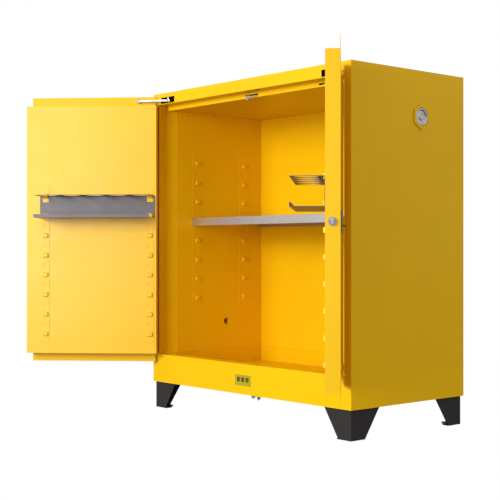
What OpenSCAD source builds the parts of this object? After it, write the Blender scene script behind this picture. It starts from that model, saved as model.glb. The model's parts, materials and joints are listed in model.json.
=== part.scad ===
// Two-door, double-walled flammable storage cabinet with self-closing doors.
// Frame: millimetres, +Z up, origin on the floor under the centre of the body, front towards -Y.
// The drawn position has both doors at their fully open stop.

/* [Body] */
// Width of the body
body_w = 1092; // [1060:2:1140]
// Depth of the body
body_d = 578; // [540:2:620]
// Height of the body above the legs
body_h = 1141; // [1120:1:1160]
// Height of the legs
leg_h = 102; // [90:1:120]
// Distance between the outer and inner wall faces
wall_gap = 38; // [36:1:42]
// Thickness of the body sheet steel
sheet = 1.2; // [1:0.1:1.5]

/* [Front frame] */
// Width of each stile's front face
stile_w = 24.5; // [22:0.5:28]
// Depth of the pocket that the doors close into
pocket_d = 45; // [44:0.5:50]
// Height of the header's front face
header_h = 43.5; // [40:0.5:46]
// Height of the stop flange that hangs behind the doors
stop_h = 20; // [16:0.5:24]
// Height of the sill's front face
sill_h = 110; // [100:1:120]
// Depth of the leak-tight sump below the sill's top
sump_d = 58.5; // [50:0.5:60]

/* [Doors] */
// Angle of the left door at its open stop
left_open = 134.9; // [120:0.1:136]
// Angle of the right door at its open stop
right_open = 134.3; // [120:0.1:136]
// Distance of each hinge axis from the body's centre plane
hinge_x = 513; // [510:0.5:516]
// Distance of the hinge axes in front of the body
hinge_out = 7; // [6:0.5:9]
// Thickness of the door's outer skin
skin_t = 1.5; // [1.2:0.1:2]
// Depth of a door from skin to inner face
door_t = 43.5; // [40:0.5:44]
// Height of the underside of the door's inner pan
pan_z0 = 217.6; // [216:0.1:222]
// Height of the top of the door's inner pan
pan_z1 = 1192; // [1188:0.5:1194]
// Height of the bottom edge of the door's skin
skin_z0 = 183.4; // [170:0.1:200]
// Height of the top edge of the door's skin
skin_z1 = 1230.2; // [1226:0.1:1236]
// Distance of the left pan's free edge from the centre plane
left_free = 1; // [0:0.5:3]
// Distance of the right pan's free edge from the centre plane
right_free = 4; // [3:0.5:8]
// Distance that the left skin stops short of its pan
left_skin_short = 13.5; // [10:0.5:20]

/* [Hinges] */
// Radius of the hinge barrels
barrel_r = 3; // [2.5:0.1:3.2]
// Radius of the hinge pins
hinge_pin_r = 1.5; // [1.2:0.1:1.8]
// Radial clearance of pins and shafts
fit = 0.05; // [0.02:0.01:0.1]
// Thickness of the hinge leaves
leaf_t = 1.1; // [0.8:0.1:1.1]

/* [Closer] */
// Distance of the link bracket from the hinge axis
link_u = 70; // [66:1:74]
// Height of the link arm's centre line
link_z = 1212.5; // [1211:0.5:1214]
// Length of the link arm between pivots
link_len = 121.5; // [118:0.5:124]
// Distance of each closer track from the centre plane
track_x = 455; // [450:1:458]
// Width of each link slot in the header
slot_w = 87; // [84:1:90]
// Distance of the link slots' inner ends from the centre plane
slot_x = 408; // [404:1:410]

/* [Latch] */
// Distance of the latch rods from the centre plane, doors closed
latch_x = 70; // [68:1:74]
// Height of the latch bolt and handle
latch_z = 705; // [690:1:720]
// Radius of the latch rods
rod_r = 5; // [4:0.5:5]
// Distance that a rod's tip stands out of the pan
rod_out = 3; // [1:0.5:4]
// Stroke of the latch rods
rod_stroke = 14; // [12:0.5:16]
// Length of the slam bolt outside the pan
bolt_out = 9; // [7:0.5:10]

/* [Shelf and racks] */
// Height of the shelf's top
shelf_z = 754; // [754:78:832]
// Height of the shelf's front and back lips
shelf_lip = 31; // [25:1:35]
// Distance of the shelf's front edge behind the body's front
shelf_back = 167; // [167:1:169]
// Pitch of the lugs on the shelf standards
lug_pitch = 78; // [78:1:78]
// Depth of the door racks
rack_d = 103; // [95:1:106]
// Height of a rack's tray
rack_z0 = 749.5; // [749:0.5:750]
// Height of a rack's top plate
rack_z1 = 838; // [836:0.5:840]
// Radius of the round holes in a rack's top plate
can_r = 38; // [36:0.5:38]
// Pitch of the round holes
can_pitch = 91; // [88:0.5:91]

/* [Hidden] */

$fn = 48;
yellow = [1, 0.8, 0.05];
galvanised = [0.75, 0.75, 0.76];
grey = [0.5, 0.5, 0.52];
chrome = [0.9, 0.9, 0.92];
black = [0.16, 0.16, 0.17];

// Main planes of the body
X = body_w / 2;
Y = body_d / 2;
z0 = leg_h;
z1 = leg_h + body_h;
xi = X - wall_gap;
yi = Y - wall_gap;
xp = X - stile_w;
y_stop = -Y + pocket_d;
z_sill = z0 + sill_h;
z_head = z1 - header_h;
z_ceil = z_head - stop_h;
z_sump = z_sill - sump_d;
seam = 0.6;
hinge_slot = 9;
slant = 44;
eps = 0.1;

// Door planes, measured from the hinge axis: u along the door, s towards the inside
hinge_y = -Y - hinge_out;
skin_s = 4;
pan_s0 = skin_s + skin_t;
pan_s1 = skin_s + door_t;
pan_u0 = -4.1;
skin_u0 = 5.5;
left_u1 = hinge_x - left_free;
right_u1 = hinge_x - right_free;
mid_s = (pan_s0 + pan_s1) / 2;
rod_u = hinge_x - latch_x;

// Closer linkage: the bracket pivot swings with the door, the slide runs along Y
link_s = 14;
link_h = 8;
link_end = 7;
link_cut = 24;
link_w = 12;
link_t = 1.5;
link_pin_r = 3;
function pivot_x(open) = -hinge_x + link_u * cos(open) + link_s * sin(open);
function pivot_y(open) = hinge_y - link_u * sin(open) + link_s * cos(open);
function slide_y(open) =
    pivot_y(open) + sqrt(pow(link_len, 2) - pow(-track_x - pivot_x(open), 2));
function link_angle(open) = atan2(slide_y(open) - pivot_y(open), -track_x - pivot_x(open));

// Closer hardware in the roof space
track_w = 24;
track_h = 14;
track_t = 1.5;
track_y1 = 0;
block_front = 4;
block_back = 14;
cyl_y0 = -146;
cyl_y1 = -6;
cyl_r = 6.4;
cyl_bore = 5.2;
cyl_end = 4;
rod_rad = 2.5;
rod_len = 134;
link_slot_z0 = 1202;
link_slot_z1 = 1226;

// Sequence bar behind the stop flange
seq_z0 = 1185.4;
seq_z1 = 1191.8;
seq_reach = 55;
seq_deep = 18;
seq_left_x = -19;
seq_right_x = 376;
seq_neck = 10;

// Standards
wall_std_w = 51;
wall_std_y = [-95, 154];
wall_std_z = [395, 1019];
wall_lug_z = 429.5;
wall_lugs = 8;
door_std_w = 31;
door_std_z = [256.6, 877];
door_lug_z = 293.5;
door_lugs = 8;
door_lug_pitch = 77.6;
door_std_u = [20.5, left_u1 - 76];
std_t = 1.2;
lug_w = 23;
lug_h = 20;
lug_out = 7;
lug_t = 1.6;
lance_w = 11;
lance_h = 9;

// Racks
rack_t = 1.5;
rack_u0 = 6.5;
rack_back_u0 = 0.5;
rack_u1 = 458;
rack_lip = 14;
rack_slot_top = 25;
rack_slot_low = 18.5;
rack_s0 = pan_s1 + std_t;
can_first = 47;
can_count = 5;
can_s = 56;

// Vents
vent_y = 58;
vent_z_high = 1084;
vent_z_low = 329;
vent_hex_r = 45.75;
vent_out = 4;
vent_bore = 32;
vent_tube_r = 13.5;
vent_wall = 2;
jig_r = 1.8;

// Latch hardware
bezel_w = 110;
bezel_h = 71;
window_w = 84;
window_h = 46;
window_z = latch_z + 8;
dish_s = 12;
lock_r = 4;
lock_z = latch_z - 26;
cam_r = 30;
cam_pin_u = 24.4;
cam_s = 13.5;
cam_t = 3;
foot_s = 17.2;
foot_t = 3.6;
strike_r = 8;

module slab(a, b) {
    translate(a) cube(b - a);
}

module on_left_door() {
    translate([-hinge_x, hinge_y, 0]) rotate([0, 0, -left_open]) children();
}

module on_right_door() {
    translate([hinge_x, hinge_y, 0]) mirror([1, 0, 0]) rotate([0, 0, -right_open]) children();
}

// A drill along +Y (or the door's s direction) from y0 to y1
module drill_y(r, x, z, y0, y1) {
    translate([x, y0, z]) rotate([-90, 0, 0]) cylinder(r = r, h = y1 - y0);
}

// A drill along +X (or the door's u direction) from x0 to x1
module drill_x(r, y, z, x0, x1) {
    translate([x0, y, z]) rotate([0, 90, 0]) cylinder(r = r, h = x1 - x0);
}

module drill_z(r, x, y, z_low, z_high) {
    translate([x, y, z_low]) cylinder(r = r, h = z_high - z_low);
}

// ---------------------------------------------------------------- outer shell

module left_side_panel() {
    color(yellow) difference() {
        slab([-X, -Y + sheet, z0 + sheet], [-X + sheet, Y - sheet, z1 - sheet]);
        drill_x(vent_bore + vent_wall, vent_y, vent_z_low, -X - 1, -X + sheet + 1);
    }
}

module right_side_panel() {
    color(yellow) difference() {
        slab([X - sheet, -Y + sheet, z0 + sheet], [X, Y - sheet, z1 - sheet]);
        drill_x(vent_bore + vent_wall, vent_y, vent_z_high, X - sheet - 1, X + 1);
        drill_x(jig_r, vent_y, vent_z_low, X - sheet - 1, X + 1);
        drill_x(jig_r, -Y + 16, z1 - 10.4, X - sheet - 1, X + 1);
    }
}

module top_panel() {
    color(yellow) slab([-X, -Y, z1 - sheet], [X, Y, z1]);
}

module back_panel() {
    color(yellow) slab([-X, Y - sheet, z0 + sheet], [X, Y, z1 - sheet]);
}

module bottom_panel() {
    color(yellow) difference() {
        slab([-X, -Y, z0], [X, Y, z0 + sheet]);
        for (sx = [-1, 1]) for (sy = [-1, 1]) leg_bolt_holes(sx, sy, z0 - 1, z0 + sheet + 1);
    }
}

// ---------------------------------------------------------------- inner shell

module side_liner(side, vent_z) {
    color(yellow) difference() {
        slab([side > 0 ? xi : -xi - sheet, y_stop + slant + 0.2, z_sill + seam],
             [side > 0 ? xi + sheet : -xi, yi + sheet, z_ceil]);
        drill_x(vent_tube_r + vent_wall + fit, vent_y, vent_z, side * xi - 3, side * xi + 3);
    }
}

module left_liner() {
    side_liner(-1, vent_z_low);
}

module right_liner() {
    side_liner(1, vent_z_high);
}

module back_liner() {
    color(yellow) slab([-xi, yi, z_sill + seam], [xi, yi + sheet, z_ceil]);
}

module ceiling_liner() {
    color(yellow) {
        slab([-xi, y_stop + sheet, z_ceil], [xi, y_stop + slant + 0.2, z_ceil + sheet]);
        slab([-xi - sheet, y_stop + slant + 0.2, z_ceil], [xi + sheet, yi + sheet, z_ceil + sheet]);
    }
}

module sump_pan() {
    color(yellow) difference() {
        union() {
            slab([-xi - sheet, y_stop, z_sump - sheet], [xi + sheet, yi + sheet, z_sill]);
            slab([-xp, y_stop, z_sill - sheet], [xp, y_stop + slant, z_sill]);
        }
        slab([-xi, y_stop + sheet, z_sump], [xi, yi, z_sill + 1]);
    }
}

// ---------------------------------------------------------------- front frame

// Front face, pocket wall and the slanted wall behind it; the hinge leaf enters between the first two
module stile() {
    color(yellow) {
        slab([-X, -Y, z0 + sheet], [-xp, -Y + sheet, z1 - sheet]);
        slab([-xp - sheet, -Y + hinge_slot, z_sill], [-xp, y_stop + sheet, z_head]);
        translate([0, 0, z_sill]) linear_extrude(z_head - z_sill) polygon([
            [-xp - sheet, y_stop], [-xp, y_stop], [-xi, y_stop + slant],
            [-xi - sheet, y_stop + slant], [-xp - sheet, y_stop + sheet]
        ]);
        for (z = [[z_sill, z_sill + 5], [z_head - 7, z_head]])
            slab([-xp - sheet, -Y, z[0]], [-xp, -Y + hinge_slot + 1, z[1]]);
    }
}

module left_stile() {
    stile();
}

module right_stile() {
    mirror([1, 0, 0]) stile();
}

// Slot that takes the end of a latch rod, through a horizontal sheet whose underside is at z
module strike(z) {
    y = hinge_y + mid_s;
    slab([latch_x - strike_r, y - 2 * strike_r, z - 1], [latch_x + strike_r, y + strike_r, z + sheet + 1]);
}

module header() {
    color(yellow) difference() {
        union() {
            slab([-xp, -Y, z_head], [xp, -Y + sheet, z1 - sheet]);
            slab([-xp, -Y, z_head], [xp, y_stop + sheet, z_head + sheet]);
            slab([-xi, y_stop, z_ceil], [xi, y_stop + sheet, z_head + sheet]);
        }
        for (side = [-1, 1]) {
            translate([side * (slot_x + slot_w / 2), 0, 0])
                slab([-slot_w / 2, -Y - 1, link_slot_z0], [slot_w / 2, -Y + sheet + 1, link_slot_z1]);
        }
        for (x = [[seq_left_x - 16, seq_left_x + seq_reach], [seq_right_x - 25, seq_right_x + seq_reach]])
            slab([x[0], y_stop - 1, seq_z0], [x[1], y_stop + sheet + 1, seq_z1]);
        strike(z_head);
    }
}

module sill() {
    color(yellow) difference() {
        union() {
            slab([-xp, -Y, z0 + sheet], [xp, -Y + sheet, z_sill]);
            slab([-xp, -Y, z_sill - sheet], [xp, y_stop, z_sill]);
        }
        strike(z_sill - sheet);
    }
}

// ---------------------------------------------------------------- legs

leg_inset = 8;
leg_front = [59, 125];
leg_side = [66, 136];
leg_t = 3;
leg_flange = 40;
leg_bolt_r = 4;
floor_bolt = 32;
floor_hole_r = 6;
foot_long = 66;
foot_short = 25;

module leg_bolt_holes(sx, sy, za, zb) {
    bx = X - leg_inset - 24;
    by = Y - leg_inset - 24;
    drill_z(leg_bolt_r + 0.3, sx * bx, sy * (by - 66), za, zb);
    drill_z(leg_bolt_r + 0.3, sx * (bx - 66), sy * by, za, zb);
}

// One face of a leg, given its widths at the floor and at the body
module leg_plate(widths) {
    rotate([90, 0, 0]) translate([0, 0, -leg_t]) linear_extrude(leg_t)
        polygon([[0, 0], [widths[0], 0], [widths[1], leg_h], [0, leg_h]]);
}

// One corner leg, drawn for the front left corner with the bend at the origin
module leg_shape() {
    color(black) difference() {
        union() {
            leg_plate(leg_front);
            mirror([1, -1, 0]) leg_plate(leg_side);
            linear_extrude(leg_t) polygon([[0, 0], [foot_long, 0], [foot_long, foot_short],
                                           [foot_short, foot_long], [0, foot_long]]);
            translate([0, 0, leg_h - leg_t]) linear_extrude(leg_t)
                polygon([[0, 0], [leg_front[1] - 3, 0], [leg_front[1] - 3, leg_flange],
                         [leg_flange, leg_flange], [leg_flange, leg_side[1] - 3], [0, leg_side[1] - 3]]);
        }
        drill_z(floor_hole_r, floor_bolt, floor_bolt, -1, leg_t + 1);
        drill_z(leg_bolt_r + 0.3, 24, 90, leg_h - leg_t - 1, leg_h + 1);
        drill_z(leg_bolt_r + 0.3, 90, 24, leg_h - leg_t - 1, leg_h + 1);
    }
}

module leg_front_left() {
    translate([-X + leg_inset, -Y + leg_inset, 0]) leg_shape();
}

module leg_front_right() {
    mirror([1, 0, 0]) leg_front_left();
}

module leg_rear_left() {
    mirror([0, 1, 0]) leg_front_left();
}

module leg_rear_right() {
    mirror([1, 0, 0]) leg_rear_left();
}

module leg_bolts() {
    head = 6;
    color(chrome) for (sx = [-1, 1]) for (sy = [-1, 1]) for (k = [0, 1]) {
        bx = X - leg_inset - (k == 0 ? 24 : 90);
        by = Y - leg_inset - (k == 0 ? 90 : 24);
        translate([sx * bx, sy * by, 0]) {
            translate([0, 0, leg_h - leg_t - head]) cylinder(r = 7.5, h = head, $fn = 6);
            translate([0, 0, leg_h - leg_t - head]) cylinder(r = leg_bolt_r, h = head + leg_t + 14);
        }
    }
}

// ---------------------------------------------------------------- shelf standards

// A pressed hanger lug, open at its top and bottom, on a face at s = 0
module lug(w, h, out) {
    difference() {
        slab([-w / 2, 0, -h / 2], [w / 2, out, h / 2]);
        slab([-w / 2 + lug_t, -1, -h / 2 - 1], [w / 2 - lug_t, out - lug_t, h / 2 + 1]);
    }
}

// A strip with a row of lugs and small lances between them, on a face at s = 0
module standard(w, z_low, z_high, first, count, pitch) {
    difference() {
        slab([-w / 2, 0, z_low], [w / 2, std_t, z_high]);
        for (k = [0 : count - 1]) translate([0, 0, first + k * pitch])
            slab([-lug_w / 2 + lug_t, -1, -lug_h / 2], [lug_w / 2 - lug_t, std_t + 1, lug_h / 2]);
        for (k = [0 : count - 2]) translate([0, 0, first + (k + 0.5) * pitch])
            slab([-lance_w / 2, -1, -lance_h / 2], [lance_w / 2, std_t + 1, lance_h / 2]);
    }
    for (k = [0 : count - 1]) translate([0, 0, first + k * pitch]) lug(lug_w, lug_h, lug_out);
}

module wall_standards() {
    color(yellow) for (side = [-1, 1]) for (y = wall_std_y)
        translate([side * xi, y, 0]) rotate([0, 0, side * 90])
            standard(wall_std_w, wall_std_z[0], wall_std_z[1], wall_lug_z, wall_lugs, lug_pitch);
}

module door_standards() {
    color(yellow) for (u = door_std_u) translate([u, pan_s1, 0])
        standard(door_std_w, door_std_z[0], door_std_z[1], door_lug_z, door_lugs, door_lug_pitch);
}

module left_door_standards() {
    on_left_door() door_standards();
}

module right_door_standards() {
    on_right_door() door_standards();
}

// ---------------------------------------------------------------- shelf

shelf_y0 = -Y + shelf_back;
shelf_y1 = yi - 8;
shelf_x = xi - 1.5;
shelf_t = 1.2;
notch = std_t + lug_out + 3;

module shelf() {
    return_w = 12;
    color(galvanised) difference() {
        union() {
            slab([-shelf_x, shelf_y0, shelf_z - shelf_t], [shelf_x, shelf_y1, shelf_z]);
            slab([-shelf_x, shelf_y0, shelf_z - shelf_lip], [shelf_x, shelf_y0 + shelf_t, shelf_z]);
            slab([-shelf_x, shelf_y1 - shelf_t, shelf_z - shelf_lip], [shelf_x, shelf_y1, shelf_z]);
            slab([-shelf_x + notch, shelf_y0, shelf_z - shelf_lip],
                 [shelf_x - notch, shelf_y0 + return_w, shelf_z - shelf_lip + shelf_t]);
            slab([-shelf_x, shelf_y1 - return_w, shelf_z - shelf_lip],
                 [shelf_x, shelf_y1, shelf_z - shelf_lip + shelf_t]);
        }
        for (side = [-1, 1]) for (y = wall_std_y)
            translate([side * (xi - notch / 2), y, 0])
                slab([-notch / 2 - eps, -wall_std_w / 2 - 0.3, shelf_z - 5],
                     [notch / 2 + eps, wall_std_w / 2 + 0.3, shelf_z + 1]);
    }
}

// Hooks that drop into the lugs and carry the shelf's sheet
module shelf_clips() {
    clip_w = 18;
    reach = 34;
    z_top = shelf_z - shelf_t;
    lug_mid = wall_lug_z + 4 * lug_pitch;
    out0 = std_t + lug_out + 0.2;
    color(chrome) for (side = [-1, 1]) for (y = wall_std_y)
        translate([side * xi, y, 0]) rotate([0, 0, side * 90]) {
            slab([-clip_w / 2, out0, lug_mid - 14], [clip_w / 2, out0 + 2, z_top]);
            slab([-clip_w / 2, out0, z_top - 2], [clip_w / 2, reach, z_top]);
            slab([-clip_w / 2, 2, z_top - 1.2], [clip_w / 2, out0 + 1, z_top]);
            slab([-clip_w / 2, 2, lug_mid + lug_h / 2 - 6], [clip_w / 2, 4.4, z_top]);
        }
}

module data_plate() {
    plate_z = z0 + 50.5;
    color([0.75, 0.65, 0.05]) slab([4 - 44, -Y - 0.8, plate_z - 20], [4 + 44, -Y, plate_z + 20]);
}

// ---------------------------------------------------------------- vents and grounding

// A vent fitting on the left wall: hexagon flange, cup, and tube through to the liner
module vent(z) {
    cup = 16;
    translate([-X, vent_y, z]) rotate([0, 90, 0]) difference() {
        union() {
            translate([0, 0, -vent_out]) cylinder(r = vent_hex_r, h = vent_out, $fn = 6);
            translate([0, 0, -vent_out]) cylinder(r = vent_bore + vent_wall, h = vent_out + cup);
            cylinder(r = vent_tube_r + vent_wall, h = wall_gap);
        }
        translate([0, 0, -vent_out - 1]) cylinder(r = vent_bore, h = vent_out + cup - 1.5 + 1);
        cylinder(r = vent_tube_r, h = wall_gap + 1);
    }
}

module left_vent() {
    color(yellow) vent(vent_z_low);
}

module right_vent() {
    color(yellow) mirror([1, 0, 0]) vent(vent_z_high);
}

// Screw-in bung with a raised rim, a dished face and a square socket, for the left wall
module vent_cap(z) {
    translate([-X, vent_y, z]) rotate([0, 90, 0]) rotate_extrude() polygon([
        [0, -1], [9, -1], [13, 1.5], [22, 1.5], [26, -3.4], [30, -3.4], [vent_bore - 0.3, -1.6],
        [vent_bore - 0.3, 8], [26, 8], [0, 6]
    ]);
}

module vent_caps() {
    color(chrome) {
        vent_cap(vent_z_low);
        mirror([1, 0, 0]) vent_cap(vent_z_high);
    }
}

module ground_stud() {
    lug_z = 9;
    color(chrome) difference() {
        union() {
            slab([50, -Y + 2, z0 - 2], [96, -Y + 26, z0]);
            slab([50, -Y + 2, z0 - lug_z], [66, -Y + 4, z0]);
            slab([80, -Y + 2, z0 - lug_z], [96, -Y + 4, z0]);
            drill_z(3, 73, -Y + 14, z0 - 16, z0);
        }
        drill_y(2, 58, z0 - 5, -Y, -Y + 6);
        drill_y(2, 88, z0 - 5, -Y, -Y + 6);
    }
}

// ---------------------------------------------------------------- hinges

// Heights of the frame leaf's short knuckles; the door leaf's long barrels run between them
ears = [[pan_z0 + 11, pan_z0 + 35], [pan_z0 + 493, pan_z0 + 517], [pan_z1 - 12, pan_z1]];

// One knuckle of a leaf, joined to it by a jog
module knuckle(za, zb, jog) {
    difference() {
        union() {
            drill_z(barrel_r, 0, 0, za + 0.2, zb - 0.2);
            translate([0, 0, za + 0.2]) linear_extrude(zb - za - 0.4) polygon(jog);
        }
        drill_z(hinge_pin_r + fit, 0, 0, za - 1, zb + 1);
    }
}

// Leaf behind the stile's front face, drawn from the left hinge axis
module frame_leaf() {
    edge_x = hinge_x - xp;
    leaf_s = hinge_out + sheet;
    color(yellow) translate([-hinge_x, hinge_y, 0]) {
        slab([edge_x - 20, leaf_s, pan_z0], [edge_x + 0.8, leaf_s + leaf_t, pan_z1]);
        translate([0, 0, pan_z0]) linear_extrude(pan_z1 - pan_z0)
            polygon([[edge_x + 0.2, leaf_s], [-4.9, 3.2], [-4, 4], [edge_x + 1.4, leaf_s + leaf_t],
                     [edge_x - 1, leaf_s + leaf_t]]);
        for (ear = ears) knuckle(ear[0], ear[1], [[-4.9, 3.2], [-2.6, 1.4], [-1.7, 2.4], [-4, 4]]);
    }
}

module left_frame_leaf() {
    frame_leaf();
}

module right_frame_leaf() {
    mirror([1, 0, 0]) frame_leaf();
}

// Leaf between the door's skin and its pan
module door_leaf() {
    color(yellow) {
        slab([4, pan_s0, pan_z0], [30, pan_s0 + leaf_t, pan_z1]);
        for (k = [0 : len(ears) - 1])
            knuckle(k == 0 ? pan_z0 : ears[k - 1][1], ears[k][0],
                    [[0.6, 2.8], [2.6, 1.4], [5, pan_s0 + eps], [5, pan_s0 + leaf_t],
                     [3.4, pan_s0 + leaf_t]]);
    }
}

module left_door_leaf() {
    on_left_door() door_leaf();
}

module right_door_leaf() {
    on_right_door() door_leaf();
}

module hinge_pins() {
    color(chrome) for (side = [-1, 1]) drill_z(hinge_pin_r, side * hinge_x, hinge_y, pan_z0, pan_z1);
}

module stile_rivets() {
    color(yellow) for (side = [-1, 1]) for (k = [0 : 4])
        translate([side * xp, -Y + 15, pan_z0 + 32 + k * 227.5]) rotate([0, -side * 90, 0])
            cylinder(r1 = 3.2, r2 = 1.8, h = 0.8);
}

// ---------------------------------------------------------------- doors

// The door's outer sheet, from the hinge edge to u1
module door_skin(u1) {
    slab([skin_u0, skin_s, skin_z0], [u1, skin_s + skin_t, skin_z1]);
}

// The door's inner pan, with flanges that carry the skin
module door_pan(u1) {
    flange = 20;
    f_s = pan_s0 + leaf_t;
    difference() {
        slab([pan_u0, pan_s0, pan_z0], [u1, pan_s1, pan_z1]);
        slab([pan_u0 + sheet, f_s + sheet, pan_z0 + sheet],
             [u1 - sheet, pan_s1 - sheet, pan_z1 - sheet]);
        slab([pan_u0 + flange, pan_s0 - 1, pan_z0 + 20], [u1 - flange, f_s + sheet + 1, pan_z1 - 20]);
        slab([pan_u0 - 1, pan_s0 - 1, pan_z0 - 1], [36, f_s, pan_z1 + 1]);
    }
}

module left_door_skin() {
    color(yellow) on_left_door() door_skin(left_u1 - left_skin_short);
}

module left_door_pan() {
    color(yellow) on_left_door() difference() {
        door_pan(left_u1);
        slab([left_u1 - 3, mid_s - 6, latch_z - 11], [left_u1 + 1, mid_s + 6, latch_z + 11]);
    }
}

module right_door_skin() {
    color(yellow) on_right_door() difference() {
        door_skin(right_u1);
        slab([rod_u - window_w / 2 - 1.5, 0, window_z - window_h / 2 - 1.5],
             [rod_u + window_w / 2 + 1.5, 10, window_z + window_h / 2 + 1.5]);
        drill_y(lock_r + 0.6, rod_u, lock_z, 0, 10);
    }
}

module right_door_pan() {
    color(yellow) on_right_door() difference() {
        door_pan(right_u1);
        slab([right_u1 - 3, mid_s - 5.5, latch_z - 9.5], [right_u1 + 1, mid_s + 5.5, latch_z + 9.5]);
        drill_z(rod_r + 0.35, rod_u, mid_s, pan_z0 - 1, pan_z0 + 3);
        drill_z(rod_r + 0.35, rod_u, mid_s, pan_z1 - 3, pan_z1 + 1);
    }
}

// A rack folded from one sheet: tray with an upstand, back, and a top plate with round holes
module can_rack() {
    s1 = rack_s0 + rack_d;
    lug_s = pan_s1 + lug_out + 1;
    color(grey) difference() {
        union() {
            slab([rack_back_u0, rack_s0, rack_z0], [rack_u1, rack_s0 + rack_t, rack_z1]);
            slab([rack_u0, rack_s0, rack_z0], [rack_u1, s1, rack_z0 + rack_t]);
            slab([rack_u0, s1 - rack_t, rack_z0], [rack_u1, s1, rack_z0 + rack_lip]);
            slab([rack_u0, rack_s0, rack_z1 - rack_t], [rack_u1, s1, rack_z1]);
        }
        for (k = [0 : can_count - 1])
            drill_z(can_r, rack_u1 - can_first - k * can_pitch, rack_s0 + can_s,
                    rack_z1 - rack_t - 1, rack_z1 + 1);
        for (u = door_std_u) {
            slab([u - lug_w / 2 - 1, rack_s0 - 1, rack_z1 - rack_slot_top],
                 [u + lug_w / 2 + 1, lug_s, rack_z1 + 1]);
            slab([u - lug_w / 2 - 1, rack_s0 - 1, rack_z0 - 1],
                 [u + lug_w / 2 + 1, lug_s, rack_z0 + rack_slot_low]);
        }
    }
}

module left_can_rack() {
    on_left_door() can_rack();
}

module right_can_rack() {
    on_right_door() can_rack();
}

// ---------------------------------------------------------------- self-closing linkage

// Fork bracket inside the skin's top lip, with its pivot pin
module link_bracket() {
    ear = 2;
    gap = 0.4;
    za = link_z - link_h / 2 - gap;
    zb = link_z + link_h / 2 + gap;
    color(chrome) {
        slab([link_u - 9, pan_s0, za - ear], [link_u + 9, pan_s0 + 1.5, zb + ear]);
        for (z = [za - ear, zb]) translate([0, 0, z]) {
            slab([link_u - 6, pan_s0, 0], [link_u + 6, link_s, ear]);
            translate([link_u, link_s, 0]) cylinder(r = 6, h = ear);
        }
        drill_z(link_pin_r, link_u, link_s, za - ear, zb + ear);
    }
}

module left_link_bracket() {
    on_left_door() link_bracket();
}

module right_link_bracket() {
    on_right_door() link_bracket();
}

// Channel-section arm from the bracket pivot to the slide, drawn in the left half
module link_arm(open) {
    r = link_w / 2;
    z_low = link_z - link_h / 2;
    z_high = link_z + link_h / 2;
    color(chrome) translate([pivot_x(open), pivot_y(open), 0]) rotate([0, 0, link_angle(open)])
        difference() {
            union() {
                for (z = [z_low, z_high - link_t]) translate([0, 0, z]) {
                    slab([0, -r, 0], [link_len - link_cut, r, link_t]);
                    cylinder(r = r, h = link_t);
                }
                slab([0, -r, z_high - link_t], [link_len, r, z_high]);
                drill_z(r, link_len, 0, z_high - link_t, z_high);
                slab([0, -r, z_low], [link_len + link_end, -r + link_t, z_high]);
            }
            drill_z(link_pin_r + fit, 0, 0, z_low - 1, z_high + 1);
            drill_z(link_pin_r + 0.3, link_len, 0, z_low - 1, z_high + 1);
            drill_y(2.2, link_len + link_end - 9, link_z, -r - 1, -r + link_t + 1);
        }
}

module left_link_arm() {
    link_arm(left_open);
}

module right_link_arm() {
    mirror([1, 0, 0]) link_arm(right_open);
}

// Inverted channel under the roof, drawn in the left half
module closer_track() {
    za = z1 - sheet - track_h;
    zb = z1 - sheet;
    color(grey) difference() {
        slab([-track_x - track_w / 2, -Y + sheet, za], [-track_x + track_w / 2, track_y1, zb]);
        slab([-track_x - track_w / 2 + track_t, -Y, za - 1],
             [-track_x + track_w / 2 - track_t, track_y1 + 1, zb - track_t]);
    }
}

module left_closer_track() {
    closer_track();
}

module right_closer_track() {
    mirror([1, 0, 0]) closer_track();
}

rod_z = z1 - sheet - track_t - 0.4 - 6.5;

// Spring cartridge at the back of the track, hung from the track's top by the block at its rear
module closer_cylinder() {
    color(black) {
        slab([-track_x - 6, cyl_y1 - cyl_end, rod_z], [-track_x + 6, track_y1 - 1, z1 - sheet - track_t]);
        translate([-track_x, cyl_y0, rod_z]) rotate([-90, 0, 0]) difference() {
            cylinder(r = cyl_r, h = cyl_y1 - cyl_y0);
            translate([0, 0, cyl_end]) cylinder(r = cyl_bore, h = cyl_y1 - cyl_y0 - 2 * cyl_end);
            translate([0, 0, -1]) cylinder(r = rod_rad + fit, h = cyl_end + 3);
        }
    }
}

module left_closer_cylinder() {
    closer_cylinder();
}

module right_closer_cylinder() {
    mirror([1, 0, 0]) closer_cylinder();
}

// Sliding block with a downward pin and the cartridge's rod and piston, drawn in the left half
module closer_slide(open) {
    y = slide_y(open);
    side = track_w / 2 - track_t - 0.4;
    zb = z1 - sheet - track_t - 0.4;
    color(chrome) {
        slab([-track_x - side, y - block_front, zb - 11], [-track_x + side, y + block_back, zb]);
        drill_z(link_pin_r, -track_x, y, link_z + link_h / 2 + 0.7, zb - 10);
        drill_y(rod_rad, -track_x, rod_z, y + block_back - 1, y + block_back + rod_len);
        drill_y(cyl_bore - 0.4, -track_x, rod_z, y + block_back + rod_len - 3, y + block_back + rod_len);
    }
}

module left_closer_slide() {
    closer_slide(left_open);
}

module right_closer_slide() {
    mirror([1, 0, 0]) closer_slide(right_open);
}

// Hook in front of the stop flange, hanging from one edge of a tab towards +X or -X
module seq_hook(x, side, tab_y) {
    hook_z = seq_z0 - 5.5;
    slab([min(x, x + side * 9), tab_y, hook_z], [max(x, x + side * 9), y_stop - 0.4, seq_z0 + 3]);
    drill_y(7, x + side * 4, hook_z, tab_y, y_stop - 0.4);
}

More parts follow.
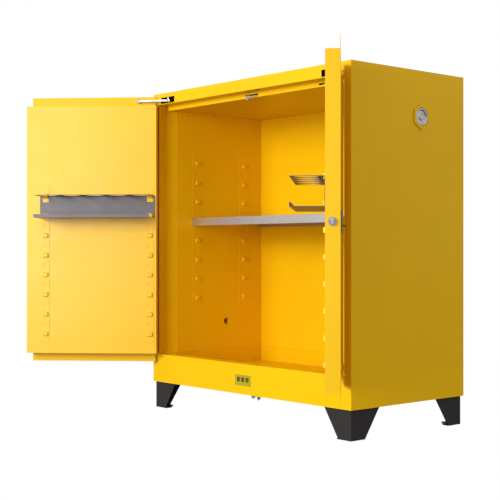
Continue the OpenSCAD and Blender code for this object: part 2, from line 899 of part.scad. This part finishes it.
// Bar in the roof space with a hooked tab through each of the two slots
module sequence_bar() {
    ya = y_stop + sheet + seq_deep;
    tab_y = y_stop - 3.9;
    color(chrome) {
        slab([seq_left_x - 26, ya, seq_z0 + 0.5], [seq_right_x + 24, ya + 3, seq_z0 + 5.5]);
        for (x = [seq_left_x, seq_right_x])
            slab([x, tab_y, seq_z0 + 0.5], [x + seq_neck, ya + 1, seq_z0 + 3]);
        seq_hook(seq_left_x, -1, tab_y);
        slab([seq_left_x, tab_y, seq_z0 - 4.5], [seq_left_x + 52, y_stop - 1, seq_z0 + 0.6]);
        seq_hook(seq_right_x + seq_neck, 1, tab_y);
    }
}

// ---------------------------------------------------------------- latch

module handle_bezel() {
    color(grey) on_right_door() difference() {
        union() {
            slab([rod_u - bezel_w / 2, 1.5, latch_z - bezel_h / 2],
                 [rod_u + bezel_w / 2, skin_s, latch_z + bezel_h / 2]);
            slab([rod_u - bezel_w / 2 + 5, -1, latch_z - bezel_h / 2 + 5],
                 [rod_u + bezel_w / 2 - 5, 2, latch_z + bezel_h / 2 - 5]);
            slab([rod_u - window_w / 2 - 1.2, skin_s - 1, window_z - window_h / 2 - 1.2],
                 [rod_u + window_w / 2 + 1.2, dish_s, window_z + window_h / 2 + 1.2]);
        }
        slab([rod_u - window_w / 2, -2, window_z - window_h / 2],
             [rod_u + window_w / 2, dish_s - 1.5, window_z + window_h / 2]);
        drill_x(1.5 + fit, 1.5, window_z + window_h / 2 - 4,
                rod_u - window_w / 2 - 4, rod_u + window_w / 2 + 4);
        drill_y(5 + fit, rod_u, latch_z, dish_s - 3, dish_s + 1);
        drill_y(lock_r + fit, rod_u, lock_z, -2, skin_s + 1);
    }
}

// Pull paddle, hinged along its top edge, with a lip along its bottom edge
module paddle() {
    w = window_w / 2 - 1;
    z_top = window_z + window_h / 2 - 4;
    z_lip = latch_z - 13.5;
    color(black) on_right_door() {
        drill_x(1.5, 1.5, z_top, rod_u - w - 3.5, rod_u + w + 3.5);
        drill_x(2.4, 1.5, z_top, rod_u - w, rod_u + w);
        slab([rod_u - w, 0.3, z_lip], [rod_u + w, 2.7, z_top]);
        slab([rod_u - w, -13, z_lip], [rod_u + w, 2.7, z_lip + 2.6]);
    }
}

module lock_cylinder() {
    color(chrome) on_right_door() difference() {
        drill_y(lock_r, rod_u, lock_z, -1.8, dish_s + 0.5);
        slab([rod_u - 0.6, -3, lock_z - 2.6], [rod_u + 0.6, 2, lock_z + 2.6]);
    }
}

// Round escutcheon on the door's free edge, with the bolt's housing inside the pan
module bolt_guide() {
    in_u = right_u1 - sheet;
    color(chrome) on_right_door() difference() {
        union() {
            drill_x(13, mid_s, latch_z, right_u1, right_u1 + 1.6);
            slab([in_u - 28, mid_s - 8, latch_z - 13], [in_u, mid_s + 8, latch_z + 13]);
        }
        slab([in_u - 30, mid_s - 5.4, latch_z - 9.4], [right_u1 + 3, mid_s + 5.4, latch_z + 9.4]);
    }
}

module slam_bolt() {
    ua = right_u1 - 27;
    ub = right_u1 + bolt_out;
    color(chrome) on_right_door() translate([0, 0, latch_z - 9]) linear_extrude(18)
        polygon([[ua, mid_s - 5], [ub, mid_s - 5], [ub, mid_s - 2], [ub - 6, mid_s + 5], [ua, mid_s + 5]]);
}

// Cam behind the handle, with one pin for each rod
module latch_cam() {
    color(chrome) on_right_door() {
        drill_y(cam_r, rod_u, latch_z, cam_s, cam_s + cam_t);
        drill_y(5, rod_u, latch_z, dish_s - 1.5, cam_s + cam_t + 2);
        for (side = [-1, 1]) drill_y(3, rod_u + side * cam_pin_u, latch_z, cam_s, foot_s + foot_t);
    }
}

// Rod with a slotted foot that the cam's pin moves; side is 1 for the upper rod, -1 for the lower
module latch_rod(side, z_end) {
    z_near = latch_z + side * 20;
    difference() {
        union() {
            drill_z(rod_r, rod_u, mid_s, min(z_near, z_end), max(z_near, z_end));
            translate([0, 0, latch_z]) scale([1, 1, side]) {
                slab([rod_u + side * 22 - 11, foot_s, -9], [rod_u + side * 22 + 11, foot_s + foot_t, 34]);
                slab([rod_u - 6, foot_s, 20], [rod_u + 6, mid_s, 34]);
                slab([rod_u + (side > 0 ? 0 : -22), foot_s, 20],
                     [rod_u + (side > 0 ? 22 : 0), foot_s + foot_t, 34]);
            }
        }
        translate([rod_u + side * 22, 0, latch_z])
            slab([-8, foot_s - 1, -4.6], [8, foot_s + foot_t + 1, 4.6]);
    }
}

module upper_latch_rod() {
    color(chrome) on_right_door() latch_rod(1, pan_z1 + rod_out);
}

module lower_latch_rod() {
    color(chrome) on_right_door() latch_rod(-1, pan_z0 - rod_out);
}

left_side_panel();
right_side_panel();
top_panel();
back_panel();
bottom_panel();
left_liner();
right_liner();
back_liner();
ceiling_liner();
sump_pan();
left_stile();
right_stile();
header();
sill();
leg_front_left();
leg_front_right();
leg_rear_left();
leg_rear_right();
leg_bolts();
wall_standards();
shelf();
shelf_clips();
data_plate();
left_vent();
right_vent();
vent_caps();
ground_stud();
left_closer_track();
right_closer_track();
left_closer_cylinder();
right_closer_cylinder();
left_frame_leaf();
right_frame_leaf();
hinge_pins();
stile_rivets();
sequence_bar();
left_door_skin();
left_door_pan();
left_door_leaf();
left_door_standards();
left_can_rack();
left_link_bracket();
right_door_skin();
right_door_pan();
right_door_leaf();
right_door_standards();
right_can_rack();
right_link_bracket();
handle_bezel();
bolt_guide();
paddle();
lock_cylinder();
slam_bolt();
latch_cam();
upper_latch_rod();
lower_latch_rod();
left_link_arm();
right_link_arm();
left_closer_slide();
right_closer_slide();
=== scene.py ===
"""Looks of a two-door flammable storage cabinet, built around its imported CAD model."""
import json
import math

import bmesh
import bpy
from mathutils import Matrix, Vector


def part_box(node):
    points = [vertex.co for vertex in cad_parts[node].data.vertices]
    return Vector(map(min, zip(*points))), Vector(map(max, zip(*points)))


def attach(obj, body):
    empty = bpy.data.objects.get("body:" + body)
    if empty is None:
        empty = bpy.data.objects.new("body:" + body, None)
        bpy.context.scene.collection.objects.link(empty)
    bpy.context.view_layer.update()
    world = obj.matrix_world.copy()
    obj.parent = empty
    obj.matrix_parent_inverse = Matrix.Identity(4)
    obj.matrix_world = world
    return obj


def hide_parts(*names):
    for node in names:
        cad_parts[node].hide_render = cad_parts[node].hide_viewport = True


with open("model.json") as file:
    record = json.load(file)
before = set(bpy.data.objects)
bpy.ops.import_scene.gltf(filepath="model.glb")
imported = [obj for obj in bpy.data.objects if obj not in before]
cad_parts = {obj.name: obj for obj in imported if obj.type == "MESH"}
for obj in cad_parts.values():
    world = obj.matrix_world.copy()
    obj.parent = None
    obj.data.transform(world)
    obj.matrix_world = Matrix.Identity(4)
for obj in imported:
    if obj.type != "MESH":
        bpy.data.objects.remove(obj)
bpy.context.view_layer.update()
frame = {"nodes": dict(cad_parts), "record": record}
NODES = frame["nodes"]

# ------------------------------------------------------------------ camera, light, floor

CAMERA_AT = (3.05393, -2.88952, 0.6244)
CAMERA_TURN = math.radians(49.18)
LENS_MM = 79.76
BACKDROP = (1.0, 1.0, 1.0)
AMBIENT = (1.0, 0.985, 0.965)
FLOOR_BOUNCE = 0.20
AMBIENT_STRENGTH = 0.70


def make_camera():
    data = bpy.data.cameras.new("camera")
    data.lens = LENS_MM
    data.sensor_width = 36
    data.clip_end = 60
    cam = bpy.data.objects.new("camera", data)
    cam.location = CAMERA_AT
    cam.rotation_euler = (math.radians(90), 0, CAMERA_TURN)
    bpy.context.scene.collection.objects.link(cam)
    bpy.context.scene.camera = cam


def make_world():
    """A white backdrop that lights the object more softly than it shows."""
    world = bpy.data.worlds.new("studio")
    world.use_nodes = True
    bpy.context.scene.world = world
    tree = world.node_tree
    tree.nodes.clear()
    out = tree.nodes.new("ShaderNodeOutputWorld")
    mix = tree.nodes.new("ShaderNodeMixShader")
    seen = tree.nodes.new("ShaderNodeBackground")
    lit = tree.nodes.new("ShaderNodeBackground")
    path = tree.nodes.new("ShaderNodeLightPath")
    seen.inputs["Color"].default_value = (*BACKDROP, 1)
    lit.inputs["Color"].default_value = (*AMBIENT, 1)
    lit.inputs["Strength"].default_value = AMBIENT_STRENGTH
    tree.links.new(path.outputs["Is Camera Ray"], mix.inputs[0])
    tree.links.new(lit.outputs[0], mix.inputs[1])
    tree.links.new(seen.outputs[0], mix.inputs[2])
    tree.links.new(mix.outputs[0], out.inputs[0])


def area_light(name, at, aim, size, watts):
    data = bpy.data.lights.new(name, "AREA")
    data.shape = "RECTANGLE"
    data.size, data.size_y = size
    data.energy = watts
    lamp = bpy.data.objects.new(name, data)
    lamp.location = at
    lamp.rotation_euler = (Vector(aim) - Vector(at)).to_track_quat("-Z", "Y").to_euler()
    bpy.context.scene.collection.objects.link(lamp)
    return lamp


def make_floor():
    mesh = bpy.data.meshes.new("floor")
    mesh.from_pydata([(-40, -40, 0), (40, -40, 0), (40, 40, 0), (-40, 40, 0)], [], [(0, 1, 2, 3)])
    floor = bpy.data.objects.new("floor", mesh)
    bpy.context.scene.collection.objects.link(floor)
    mat = bpy.data.materials.new("floor")
    mat.use_nodes = True
    tree = mat.node_tree
    tree.nodes.clear()
    out = tree.nodes.new("ShaderNodeOutputMaterial")
    mix = tree.nodes.new("ShaderNodeMixShader")
    path = tree.nodes.new("ShaderNodeLightPath")
    lit = tree.nodes.new("ShaderNodeBsdfDiffuse")
    seen = tree.nodes.new("ShaderNodeEmission")
    lit.inputs["Color"].default_value = (FLOOR_BOUNCE, FLOOR_BOUNCE, FLOOR_BOUNCE, 1)
    tree.links.new(path.outputs["Is Camera Ray"], mix.inputs[0])
    tree.links.new(lit.outputs[0], mix.inputs[1])
    tree.links.new(seen.outputs[0], mix.inputs[2])
    tree.links.new(mix.outputs[0], out.inputs[0])
    mesh.materials.append(mat)


make_camera()
make_world()
make_floor()
# Name, place, aim, width and height in metres, and power in watts
area_light("key", (-0.4, -5.6, 2.2), (-0.3, -0.3, 0.5), (1.6, 1.6), 150)
area_light("sheen", (1.4, -5.1, 0.7), (-0.6, -0.5, 0.6), (1.5, 2.8), 165)
side_fill = area_light("side_fill", (4.0, 3.2, 1.2), (0.5, 0, 0.6), (2.5, 2.5), 40)
side_fill.visible_glossy = False
bpy.context.scene.view_settings.view_transform = "Standard"
bpy.context.scene.view_settings.look = "None"


# ------------------------------------------------------------------ materials

class Shader:
    """A Principled material with a few helpers for procedural inputs."""

    def __init__(self, name):
        self.mat = bpy.data.materials.new(name)
        self.mat.use_nodes = True
        self.tree = self.mat.node_tree
        self.bsdf = self.tree.nodes["Principled BSDF"]
        coords = self.node("ShaderNodeTexCoord")
        self.place = coords.outputs["Object"]

    def node(self, kind, **values):
        n = self.tree.nodes.new(kind)
        for key, value in values.items():
            setattr(n, key, value)
        return n

    def link(self, a, b):
        self.tree.links.new(a, b)

    def set(self, **values):
        for key, value in values.items():
            socket = self.bsdf.inputs[key.replace("_", " ")]
            socket.default_value = (*value, 1) if isinstance(value, tuple) else value

    def noise(self, scale, detail=3, roughness=0.5, stretch=None):
        n = self.node("ShaderNodeTexNoise")
        n.inputs["Scale"].default_value = scale
        n.inputs["Detail"].default_value = detail
        n.inputs["Roughness"].default_value = roughness
        if stretch:
            m = self.node("ShaderNodeMapping")
            m.inputs["Scale"].default_value = stretch
            self.link(self.place, m.inputs["Vector"])
            self.link(m.outputs["Vector"], n.inputs["Vector"])
        else:
            self.link(self.place, n.inputs["Vector"])
        return n.outputs["Fac"]

    def ramp(self, value, stops, target):
        r = self.node("ShaderNodeValToRGB")
        elements = r.color_ramp.elements
        while len(elements) < len(stops):
            elements.new(0.5)
        for e, (at, colour) in zip(elements, stops):
            e.position = at
            e.color = (*colour, 1) if isinstance(colour, tuple) else (colour,) * 3 + (1,)
        self.link(value, r.inputs["Fac"])
        self.link(r.outputs["Color"], self.bsdf.inputs[target])

    def bump(self, height, strength, distance, after=None):
        b = self.node("ShaderNodeBump")
        b.inputs["Strength"].default_value = strength
        b.inputs["Distance"].default_value = distance
        self.link(height, b.inputs["Height"])
        if after:
            self.link(after.outputs["Normal"], b.inputs["Normal"])
        self.link(b.outputs["Normal"], self.bsdf.inputs["Normal"])
        return b


def shade(colour, factor):
    return tuple(min(1.0, c * factor) for c in colour)


def powder_coat(name, colour, roughness, coat, gloss=0.15, peel=0.12, spread=0.03):
    """Powder-coated sheet: nearly even colour, fine orange peel and slightly uneven gloss."""
    s = Shader(name)
    s.ramp(s.noise(2.3, 4), [(0.3, shade(colour, 1 - spread)), (0.7, shade(colour, 1 + spread))],
           "Base Color")
    s.ramp(s.noise(9.0, 3), [(0.3, roughness - 0.03), (0.7, roughness + 0.04)], "Roughness")
    s.set(Coat_Weight=coat, Coat_Roughness=0.18, Specular_IOR_Level=gloss)
    s.bump(s.noise(620.0, 2), peel, 0.0002, s.bump(s.noise(24.0, 1), 0.05, 0.0004))
    return s.mat


def plated(name, colour, roughness, grain=(1, 1, 14)):
    """Zinc-plated steel with a soft drawn grain."""
    s = Shader(name)
    s.ramp(s.noise(60.0, 3, stretch=grain), [(0.3, shade(colour, 0.88)), (0.7, shade(colour, 1.06))],
           "Base Color")
    s.ramp(s.noise(35.0, 4), [(0.3, roughness - 0.06), (0.7, roughness + 0.08)], "Roughness")
    s.set(Metallic=1.0)
    s.bump(s.noise(420.0, 2, stretch=grain), 0.10, 0.0002)
    return s.mat


def galvanised(name, colour, roughness):
    """Galvanised sheet: faint crystal spangle over rolled steel."""
    s = Shader(name)
    cells = s.node("ShaderNodeTexVoronoi")
    cells.inputs["Scale"].default_value = 140.0
    s.link(s.place, cells.inputs["Vector"])
    grey = s.node("ShaderNodeSeparateColor")
    s.link(cells.outputs["Color"], grey.inputs[0])
    s.ramp(grey.outputs[0], [(0.0, shade(colour, 0.97)), (1.0, shade(colour, 1.03))], "Base Color")
    s.ramp(grey.outputs[1], [(0.0, roughness - 0.02), (1.0, roughness + 0.03)], "Roughness")
    s.set(Metallic=1.0)
    s.bump(s.noise(300.0, 2), 0.05, 0.0002)
    return s.mat


def moulded(name, colour, roughness):
    """Moulded plastic with a fine spark-eroded texture."""
    s = Shader(name)
    s.ramp(s.noise(40.0, 4), [(0.3, shade(colour, 0.93)), (0.7, shade(colour, 1.07))], "Base Color")
    s.ramp(s.noise(90.0, 3), [(0.3, roughness - 0.04), (0.7, roughness + 0.05)], "Roughness")
    s.bump(s.noise(1500.0, 2), 0.2, 0.0001)
    return s.mat


def film(name, colour, roughness):
    """Printed film with slight mottling."""
    s = Shader(name)
    s.ramp(s.noise(120.0, 3), [(0.3, shade(colour, 0.94)), (0.7, shade(colour, 1.04))], "Base Color")
    s.set(Roughness=roughness, Coat_Weight=0.4, Coat_Roughness=0.1)
    s.bump(s.noise(200.0, 1), 0.04, 0.0001)
    return s.mat


YELLOW = (0.85, 0.492, 0.002)
MATERIALS = {
    "yellow_paint": powder_coat("yellow_powder_coat", YELLOW, 0.34, 0.0),
    "door_yellow": powder_coat("door_yellow_powder_coat", YELLOW, 0.36, 0.0, gloss=0.40),
    "black_paint": powder_coat("black_powder_coat", (0.028, 0.025, 0.026), 0.5, 0.0, gloss=0.2),
    "grey_paint": powder_coat("grey_powder_coat", (0.135, 0.118, 0.128), 0.42, 0.0, gloss=0.4),
    "closer_paint": powder_coat("closer_black_paint", (0.03, 0.03, 0.03), 0.4, 0.2),
    "galvanised_steel": galvanised("galvanised_sheet", (0.60, 0.60, 0.61), 0.46),
    "zinc_plate": plated("bright_zinc", (0.62, 0.61, 0.60), 0.30),
    "arm_zinc": plated("dull_zinc", (0.30, 0.30, 0.30), 0.45),
    "grey_plastic": moulded("grey_plastic", (0.22, 0.22, 0.23), 0.45),
    "black_plastic": moulded("black_plastic", (0.02, 0.02, 0.02), 0.4),
    "printed_plate": film("plate_film", (0.42, 0.35, 0.004), 0.35),
    "label_ink": film("label_ink", (0.09, 0.07, 0.004), 0.4),
}


def dress(obj, finish):
    obj.data.materials.clear()
    obj.data.materials.append(MATERIALS[finish])


# Nodes whose finish differs from their material slot's usual one
FINISHES = {"left_door_pan": "door_yellow", "right_door_pan": "door_yellow",
            "left_link_arm": "arm_zinc", "right_link_arm": "arm_zinc",
            "left_link_bracket": "arm_zinc", "right_link_bracket": "arm_zinc"}
for row in frame["record"]["subparts"]:
    dress(NODES[row["node"]], FINISHES.get(row["node"], row["material_slot"]))

# ------------------------------------------------------------------ soft edges on CAD pieces

# Width of each node's rounded edges
EDGE_M = {
    "left_side_panel": 0.0004, "right_side_panel": 0.0004, "top_panel": 0.0005, "header": 0.0004,
    "sill": 0.0004, "left_door_skin": 0.0006, "right_door_skin": 0.0006,
    "left_door_pan": 0.0004, "right_door_pan": 0.0004, "left_can_rack": 0.0006,
    "right_can_rack": 0.0006, "shelf": 0.0004, "leg_front_left": 0.0013, "leg_front_right": 0.0013,
    "leg_rear_left": 0.0013, "leg_rear_right": 0.0013, "left_vent": 0.0008, "right_vent": 0.0008,
    "shelf_clips": 0.0004, "ground_stud": 0.0005, "sequence_bar": 0.0006, "slam_bolt": 0.0008,
    "handle_bezel": 0.0012, "paddle": 0.0007, "data_plate": 0.0003, "leg_bolts": 0.0006,
    "left_link_arm": 0.0003, "right_link_arm": 0.0003,
}


def soften(obj, width, sharpest=40, harden=True):
    """Round the edges that turn by more than the given degrees."""
    mod = obj.modifiers.new("edges", "BEVEL")
    mod.width = width
    mod.segments = 2
    mod.limit_method = "ANGLE"
    mod.angle_limit = math.radians(sharpest)
    mod.harden_normals = harden


for node, width in EDGE_M.items():
    soften(NODES[node], width)

# ------------------------------------------------------------------ pressed shelf and rack standards

JOINTS = {j["name"]: j for j in frame["record"]["behaviour"]["joints"]}
SAME = 0.0003
TOUCHING = 0.0004
LANCE_W, LANCE_H = 0.011, 0.009
STRIP_EDGE = 0.0004
LUG_CORNER = 0.0024
LUG_SINK = 0.0002
# How far each ring of a lug draws in, and its share of the lug's height
LUG_RINGS = ((0.0, 0.0), (0.0015, 0.62), (0.0027, 0.92), (0.0042, 1.0))


class Plane:
    """A mounting face: origin, along (u) and outwards (s) directions in the XY plane."""

    def __init__(self, origin, along, outwards):
        self.origin, self.along, self.outwards = Vector(origin), Vector(along), Vector(outwards)

    def local(self, co):
        d = Vector((co[0], co[1])) - self.origin
        return d.dot(self.along), d.dot(self.outwards), co[2]

    def world(self, u, s, z):
        p = self.origin + self.along * u + self.outwards * s
        return p.x, p.y, z


def door_plane(side, joint):
    """The plane through a door's hinge axis, turned to its drawn open angle."""
    opened = math.radians(JOINTS[joint]["range_deg"][1])
    at = JOINTS[joint]["pos_m"]
    along = (-side * math.cos(opened), -math.sin(opened))
    outwards = (-side * math.sin(opened), math.cos(opened))
    return Plane((at[0], at[1]), along, outwards)


def pairs(values):
    """Sorted distinct values, taken two at a time."""
    found = []
    for v in sorted(values):
        if not found or v - found[-1] > SAME:
            found.append(v)
    return list(zip(found[::2], found[1::2]))


def brick(bm, plane, u, s, z):
    """A block between two values of each of u, s and z."""
    corners = [bm.verts.new(plane.world(a, b, c)) for a in u for b in s for c in z]
    for face in ((0, 1, 3, 2), (4, 6, 7, 5), (0, 4, 5, 1), (2, 3, 7, 6), (0, 2, 6, 4), (1, 5, 7, 3)):
        bm.faces.new([corners[k] for k in face])


def rounded_box(cx, cz, half_x, half_z, corner):
    """Outline of a rectangle with rounded corners, centred at (cx, cz)."""
    points = []
    for quarter in range(4):
        mid_x = cx + (half_x - corner) * (1 if quarter in (0, 3) else -1)
        mid_z = cz + (half_z - corner) * (1 if quarter in (0, 1) else -1)
        for step in range(5):
            a = math.pi / 2 * quarter + math.pi / 8 * step
            points.append((mid_x + corner * math.cos(a), mid_z + corner * math.sin(a)))
    return points


def pressed_lug(bm, plane, u, z, base, top):
    """A rounded pressing: rings that draw in as they rise from the strip, closed by a crown."""
    rings = []
    for draw, rise in LUG_RINGS:
        half_u, half_z = (u[1] - u[0]) / 2 - draw, (z[1] - z[0]) / 2 - draw
        outline = rounded_box((u[0] + u[1]) / 2, (z[0] + z[1]) / 2, half_u, half_z, LUG_CORNER)
        rings.append([bm.verts.new(plane.world(a, base + (top - base) * rise, b)) for a, b in outline])
    for low, high in zip(rings, rings[1:]):
        for k in range(len(low)):
            n = (k + 1) % len(low)
            bm.faces.new((low[k], low[n], high[n], high[k]))
    bm.faces.new(rings[-1])
    bm.faces.new(list(reversed(rings[0])))


def standards(node, name, body, plane, keep, finish):
    """Strips with lance holes and pressed lugs, read from one side of a CAD node."""
    points = [plane.local(v.co) for v in NODES[node].data.vertices if keep(v.co)]
    s_high = max(p[1] for p in points)
    z_low, z_high = min(p[2] for p in points), max(p[2] for p in points)
    faces = [p for p in points if p[1] > s_high - TOUCHING]
    lug_z = pairs(p[2] for p in faces)
    ends = [p for p in points if p[2] < z_low + TOUCHING]
    strip_u = pairs(p[0] for p in ends)
    lug_u = pairs(p[0] for p in faces)
    depths = sorted({round(p[1], 5) for p in ends})
    s = (depths[0], depths[-1])
    bm = bmesh.new()
    for strip, lug in zip(strip_u, lug_u):
        mid = (strip[0] + strip[1]) / 2
        hole = (mid - LANCE_W / 2, mid + LANCE_W / 2)
        at = z_low
        for below, above in zip(lug_z, lug_z[1:]):
            centre = (below[0] + below[1] + above[0] + above[1]) / 4
            brick(bm, plane, strip, s, (at, centre - LANCE_H / 2))
            brick(bm, plane, (strip[0], hole[0]), s, (centre - LANCE_H / 2, centre + LANCE_H / 2))
            brick(bm, plane, (hole[1], strip[1]), s, (centre - LANCE_H / 2, centre + LANCE_H / 2))
            at = centre + LANCE_H / 2
        brick(bm, plane, strip, s, (at, z_high))
        for z in lug_z:
            pressed_lug(bm, plane, lug, z, s[0] + LUG_SINK, s_high)
    bmesh.ops.recalc_face_normals(bm, faces=bm.faces)
    mesh = bpy.data.meshes.new(name)
    bm.to_mesh(mesh)
    bm.free()
    piece = bpy.data.objects.new(name, mesh)
    bpy.context.scene.collection.objects.link(piece)
    mesh.materials.append(MATERIALS[finish])
    soften(piece, STRIP_EDGE, 50, False)
    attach(piece, body)
    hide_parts(node)


standards("left_door_standards", "left_door_pressed_standards", "left_door",
          door_plane(-1, "left_door_swing"), lambda co: True, "door_yellow")
standards("right_door_standards", "right_door_pressed_standards", "right_door",
          door_plane(1, "right_door_swing"), lambda co: True, "door_yellow")
wall_low, wall_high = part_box("wall_standards")
standards("wall_standards", "left_wall_standards", "cabinet",
          Plane((wall_low.x, 0), (0, 1), (1, 0)), lambda co: co.x < 0, "yellow_paint")
standards("wall_standards", "right_wall_standards", "cabinet",
          Plane((wall_high.x, 0), (0, 1), (-1, 0)), lambda co: co.x > 0, "yellow_paint")

# ------------------------------------------------------------------ plain marks on the data plate

MARK_PITCH = 0.024
MARK_HALF = 0.0085
MARK_CORNER = 0.003
MARK_LIFT = 0.003
MARK_T = 0.0002


def thin_prism(name, outline, y, thickness, slot):
    """A thin closed plate in the XZ plane, from an outline of (x, z) points."""
    bm = bmesh.new()
    rows = [[bm.verts.new((px, y - t, pz)) for px, pz in outline] for t in (0, thickness)]
    bm.faces.new(rows[0])
    bm.faces.new(reversed(rows[1]))
    count = len(outline)
    for k in range(count):
        n = (k + 1) % count
        bm.faces.new((rows[0][k], rows[1][k], rows[1][n], rows[0][n]))
    bmesh.ops.recalc_face_normals(bm, faces=bm.faces)
    mesh = bpy.data.meshes.new(name)
    bm.to_mesh(mesh)
    bm.free()
    piece = bpy.data.objects.new(name, mesh)
    bpy.context.scene.collection.objects.link(piece)
    mesh.materials.append(MATERIALS[slot])
    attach(piece, "cabinet")


def label_marks():
    """Three blank rounded marks across the plate."""
    low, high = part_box("data_plate")
    mid_z = (low[2] + high[2]) / 2
    mid_x = (low[0] + high[0]) / 2
    for k in (-1, 0, 1):
        outline = rounded_box(mid_x + k * MARK_PITCH, mid_z + MARK_LIFT, MARK_HALF, MARK_HALF, MARK_CORNER)
        thin_prism("label_mark_%d" % (k + 2), outline, low[1], MARK_T, "label_ink")


label_marks()
